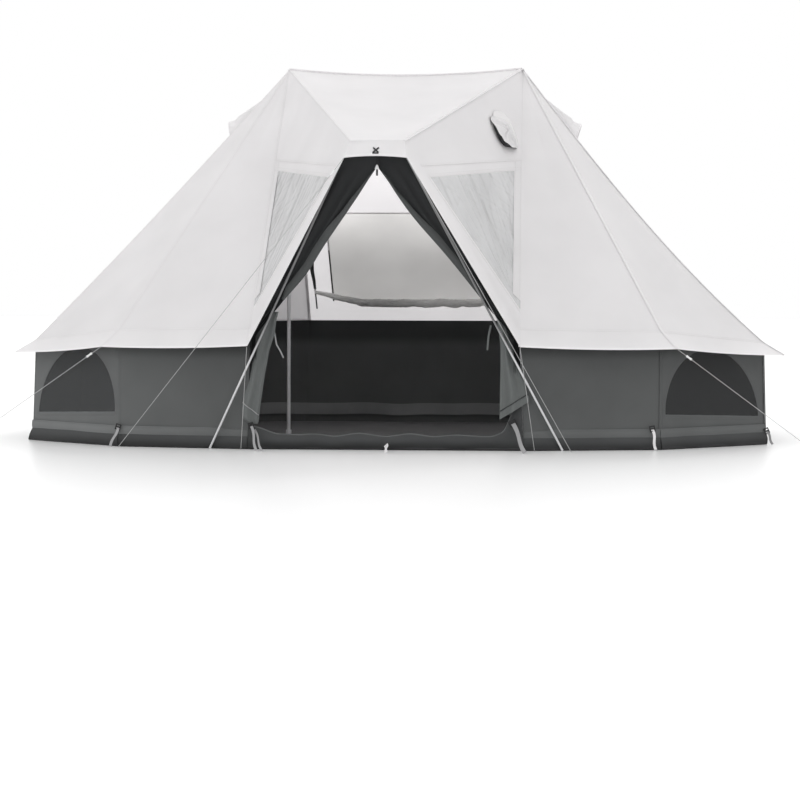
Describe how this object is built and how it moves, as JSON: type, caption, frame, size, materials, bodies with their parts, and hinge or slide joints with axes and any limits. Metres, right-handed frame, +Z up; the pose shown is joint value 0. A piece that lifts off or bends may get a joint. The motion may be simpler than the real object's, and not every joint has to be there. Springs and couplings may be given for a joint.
{
  "type": "hot tent",
  "caption": "Two-pole hot tent with a ridge, a hooded doorway with tied-back doors, clear windows, short dark walls, end vents and a stove jack.",
  "frame": {"origin": "on the ground under the middle of the tent's outline", "axes": "+X to the right seen from outside the door, +Y from the door to the back, +Z up"},
  "size_m": [5.9289, 4.5165, 2.7999],
  "materials": {
    "roof_cloth": "light grey coated cotton canvas",
    "wall_cloth": "dark grey canvas",
    "door_cloth": "near-black canvas",
    "floor_cloth": "dark coated sheet",
    "mesh": "fine dark mesh",
    "clear_film": "clear flexible film, a little cloudy",
    "steel": "galvanised tube",
    "cord": "light grey braided cord",
    "plastic": "light grey moulded plastic",
    "heat_patch": "heat-proof coated cloth"
  },
  "bodies": {
    "tent": {"ridge_panel": "roof_cloth", "hood_visor": "roof_cloth", "roof_door_left": "roof_cloth", "roof_door_right": "roof_cloth", "door_hem_left": "roof_cloth", "door_hem_right": "roof_cloth", "roof_front_left": "roof_cloth", "roof_front_right": "roof_cloth", "roof_front_corner_left": "roof_cloth", "roof_front_corner_right": "roof_cloth", "roof_end_left": "roof_cloth", "roof_end_right": "roof_cloth", "roof_rear_corner_left": "roof_cloth", "roof_rear_corner_right": "roof_cloth", "roof_rear_left": "roof_cloth", "roof_rear_right": "roof_cloth", "roof_back": "roof_cloth", "end_vent_left": "roof_cloth", "end_vent_right": "roof_cloth", "clear_window_left": "clear_film", "clear_window_right": "clear_film", "back_window": "clear_film", "back_window_roll": "clear_film", "end_window_left": "mesh", "end_window_right": "mesh", "moon_window_left": "mesh", "moon_window_right": "mesh", "stove_patch": "heat_patch", "wall_front_left": "wall_cloth", "wall_front_right": "wall_cloth", "wall_front_corner_left": "wall_cloth", "wall_front_corner_right": "wall_cloth", "wall_end_left": "wall_cloth", "wall_end_right": "wall_cloth", "wall_rear_corner_left": "wall_cloth", "wall_rear_corner_right": "wall_cloth", "wall_rear_left": "wall_cloth", "wall_rear_right": "wall_cloth", "wall_back": "wall_cloth", "groundsheet": "floor_cloth", "door_sill": "floor_cloth", "door_leaf_left": "door_cloth", "door_leaf_right": "door_cloth", "pole_lower_left": "steel", "pole_lower_right": "steel", "pole_upper_left": "steel", "pole_upper_right": "steel", "frame_leg_left": "steel", "frame_leg_right": "steel", "hood_line_left": "cord", "hood_line_right": "cord", "eave_line_left": "cord", "eave_line_right": "cord", "tie_line_left": "cord", "tie_line_right": "cord"},
    "stove_flap": {"stove_flap": "roof_cloth"},
    "zip_pull": {"zip_pull": "plastic"},
    "hood_runner_left": {"hood_runner_left": "plastic"},
    "eave_runner_left": {"eave_runner_left": "plastic"},
    "eave_runner_right": {"eave_runner_right": "plastic"}
  },
  "joints": [
    {"name": "flap_hinge", "type": "hinge", "parent": "tent", "child": "stove_flap", "pos_m": [0.73654, -0.57656, 2.44887], "axis": [-0.4236, -0.9058, 0], "range_deg": [0, 140]},
    {"name": "zip_pull_swing", "type": "hinge", "parent": "tent", "child": "zip_pull", "pos_m": [-0.03289, -2.08229, 1.979], "axis": [-1, 0, 0], "range_deg": [0, 60]},
    {"name": "hood_runner_left_slide", "type": "slide", "parent": "tent", "child": "hood_runner_left", "axis": [-0.6195, 0.2058, -0.7576], "range_m": [-0.03, 0.35]},
    {"name": "eave_runner_left_slide", "type": "slide", "parent": "tent", "child": "eave_runner_left", "axis": [-0.6734, -0.5174, -0.5281], "range_m": [-0.03, 0.35]},
    {"name": "eave_runner_right_slide", "type": "slide", "parent": "tent", "child": "eave_runner_right", "axis": [0.7315, -0.4147, -0.5413], "range_m": [-0.03, 0.35]}
  ]
}
